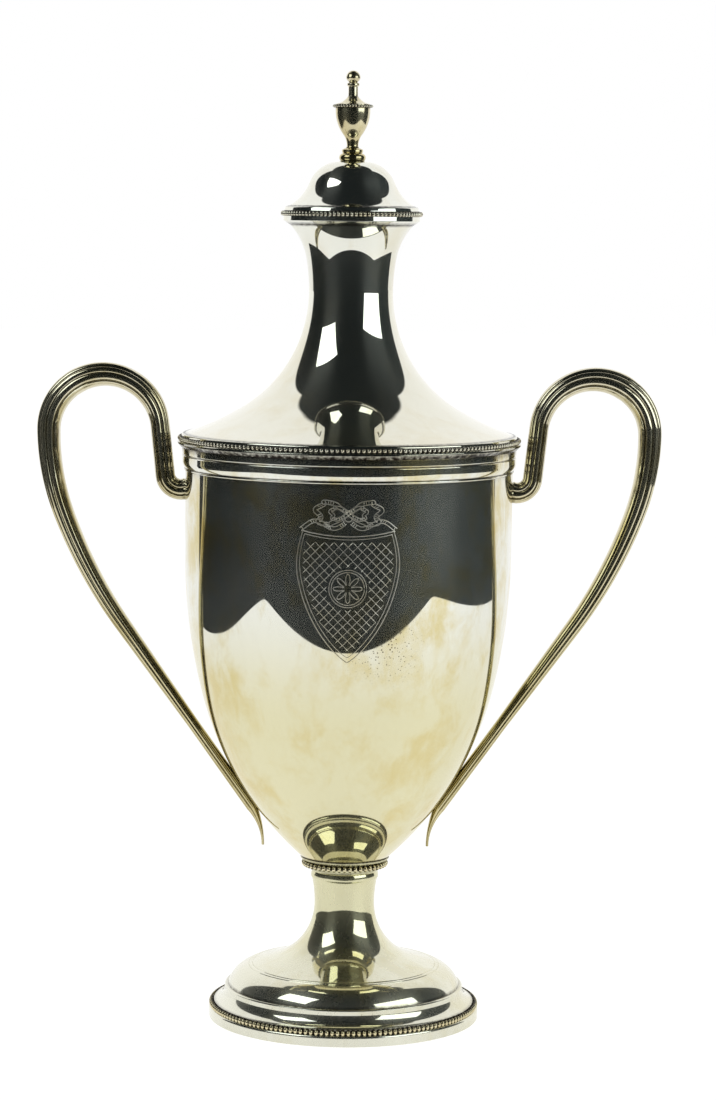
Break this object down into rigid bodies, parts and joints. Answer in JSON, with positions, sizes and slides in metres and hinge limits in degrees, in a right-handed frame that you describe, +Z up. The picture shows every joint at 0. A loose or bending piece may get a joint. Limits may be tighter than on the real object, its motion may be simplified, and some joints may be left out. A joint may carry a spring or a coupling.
{
  "type": "cup trophy",
  "caption": "Tall two-handled silver cup on a domed foot, with a lift-off trumpet-shaped cover, beaded borders and an urn finial.",
  "frame": {"origin": "on the table, at the middle of the foot", "axes": "+Z up the axis of the cup, X across the two handles, -Y out of the engraved front"},
  "size_m": [0.3282, 0.1804, 0.5],
  "materials": {
    "silver": "mirror-polished sterling silver, warm with age",
    "silver_moulding": "polished silver bead wire with tarnish between the beads",
    "silver_handle": "polished reeded silver with brown tarnish in the reeds",
    "fixing_brass": "dull turned brass"
  },
  "bodies": {
    "cup": {"foot_rim": "silver", "foot_bead_wire": "silver_moulding", "foot_cove": "silver", "pedestal": "silver", "collar": "silver", "collar_bead_wire": "silver_moulding", "bowl": "silver", "lip_moulding": "silver", "lip_astragal": "silver", "handle_left": "silver_handle", "handle_right": "silver_handle"},
    "cover": {"cover_rim": "silver", "cover_bead_wire": "silver_moulding", "cover_bezel": "silver", "cover_shell": "silver", "neck_fascia": "silver", "cap_bead_wire": "silver_moulding", "cap_fascia": "silver", "cap_dome": "silver", "finial_knop": "silver", "finial_urn": "silver", "finial_bead_wire": "silver_moulding", "finial_urn_cover": "silver", "finial_stud": "fixing_brass", "finial_washer": "fixing_brass", "finial_nut": "fixing_brass"}
  },
  "joints": [
    {"name": "cover_lift", "type": "slide", "parent": "cup", "child": "cover", "axis": [0, 0, 1], "range_m": [0, 0.12]}
  ]
}
